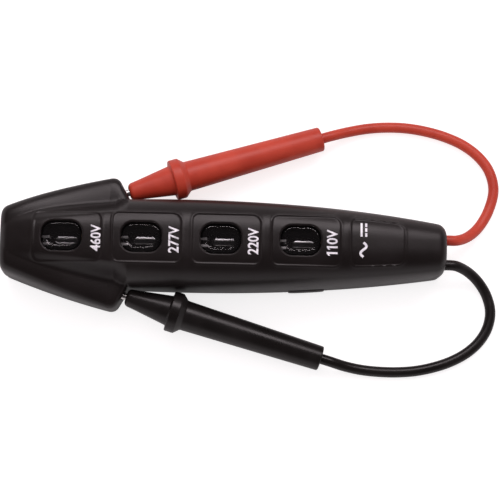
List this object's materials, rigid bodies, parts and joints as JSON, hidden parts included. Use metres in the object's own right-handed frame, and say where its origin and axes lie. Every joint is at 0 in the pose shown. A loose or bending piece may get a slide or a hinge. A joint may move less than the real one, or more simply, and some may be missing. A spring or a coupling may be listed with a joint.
{
  "type": "voltage tester",
  "caption": "Slim two-shell neon voltage tester with a row of lamp windows, two flexible leads and handheld probes parked in its head.",
  "frame": {"origin": "on the back of the case, under the middle of its length and width", "axes": "+X runs to the tail where the leads leave, +Y to the red lead's side, +Z out of the front face; the case lies on its back"},
  "size_m": [0.1467, 0.0772, 0.023],
  "materials": {
    "case_plastic": "satin, fine moulded texture",
    "lens": "polished, smoke tinted",
    "lamp_glass": "clear",
    "lamp_electrode": "bright nickel wire",
    "board": "phenolic laminate",
    "resistor_body": "lacquered, colour bands",
    "screw_steel": "zinc plated",
    "crimp_brass": "satin",
    "tip_nickel": "bright nickel plate",
    "red_vinyl": "satin vinyl",
    "black_vinyl": "satin vinyl"
  },
  "bodies": {
    "case": {"front_shell": "case_plastic", "rear_shell": "case_plastic", "window_lens_1": "lens", "neon_lamp_1": "lamp_glass", "electrode_1_a": "lamp_electrode", "electrode_1_b": "lamp_electrode", "window_lens_2": "lens", "neon_lamp_2": "lamp_glass", "electrode_2_a": "lamp_electrode", "electrode_2_b": "lamp_electrode", "window_lens_3": "lens", "neon_lamp_3": "lamp_glass", "electrode_3_a": "lamp_electrode", "electrode_3_b": "lamp_electrode", "window_lens_4": "lens", "neon_lamp_4": "lamp_glass", "electrode_4_a": "lamp_electrode", "electrode_4_b": "lamp_electrode", "circuit_board": "board", "board_screw_1": "screw_steel", "board_screw_2": "screw_steel", "resistor_1": "resistor_body", "resistor_2": "resistor_body", "resistor_3": "resistor_body", "resistor_4": "resistor_body", "resistor_5": "resistor_body", "case_screw_1": "screw_steel", "case_screw_2": "screw_steel", "red_lead": "red_vinyl", "red_inner_lead": "red_vinyl", "red_lead_stop": "crimp_brass", "black_lead": "black_vinyl", "black_inner_lead": "black_vinyl", "black_lead_stop": "crimp_brass"},
    "red_probe": {"red_probe_handle": "red_vinyl", "red_probe_tip": "tip_nickel", "red_probe_crimp": "crimp_brass", "red_handle_lead": "red_vinyl"},
    "black_probe": {"black_probe_handle": "black_vinyl", "black_probe_tip": "tip_nickel", "black_probe_crimp": "crimp_brass", "black_handle_lead": "black_vinyl"}
  },
  "joints": [
    {"name": "red_probe_pull", "type": "slide", "parent": "case", "child": "red_probe", "axis": [0.9447, 0.3161, -0.0872], "range_m": [0, 0.014], "deforming": ["red_lead"]},
    {"name": "black_probe_pull", "type": "slide", "parent": "case", "child": "black_probe", "axis": [0.9586, -0.2712, -0.0872], "range_m": [0, 0.014], "deforming": ["black_lead"]}
  ]
}
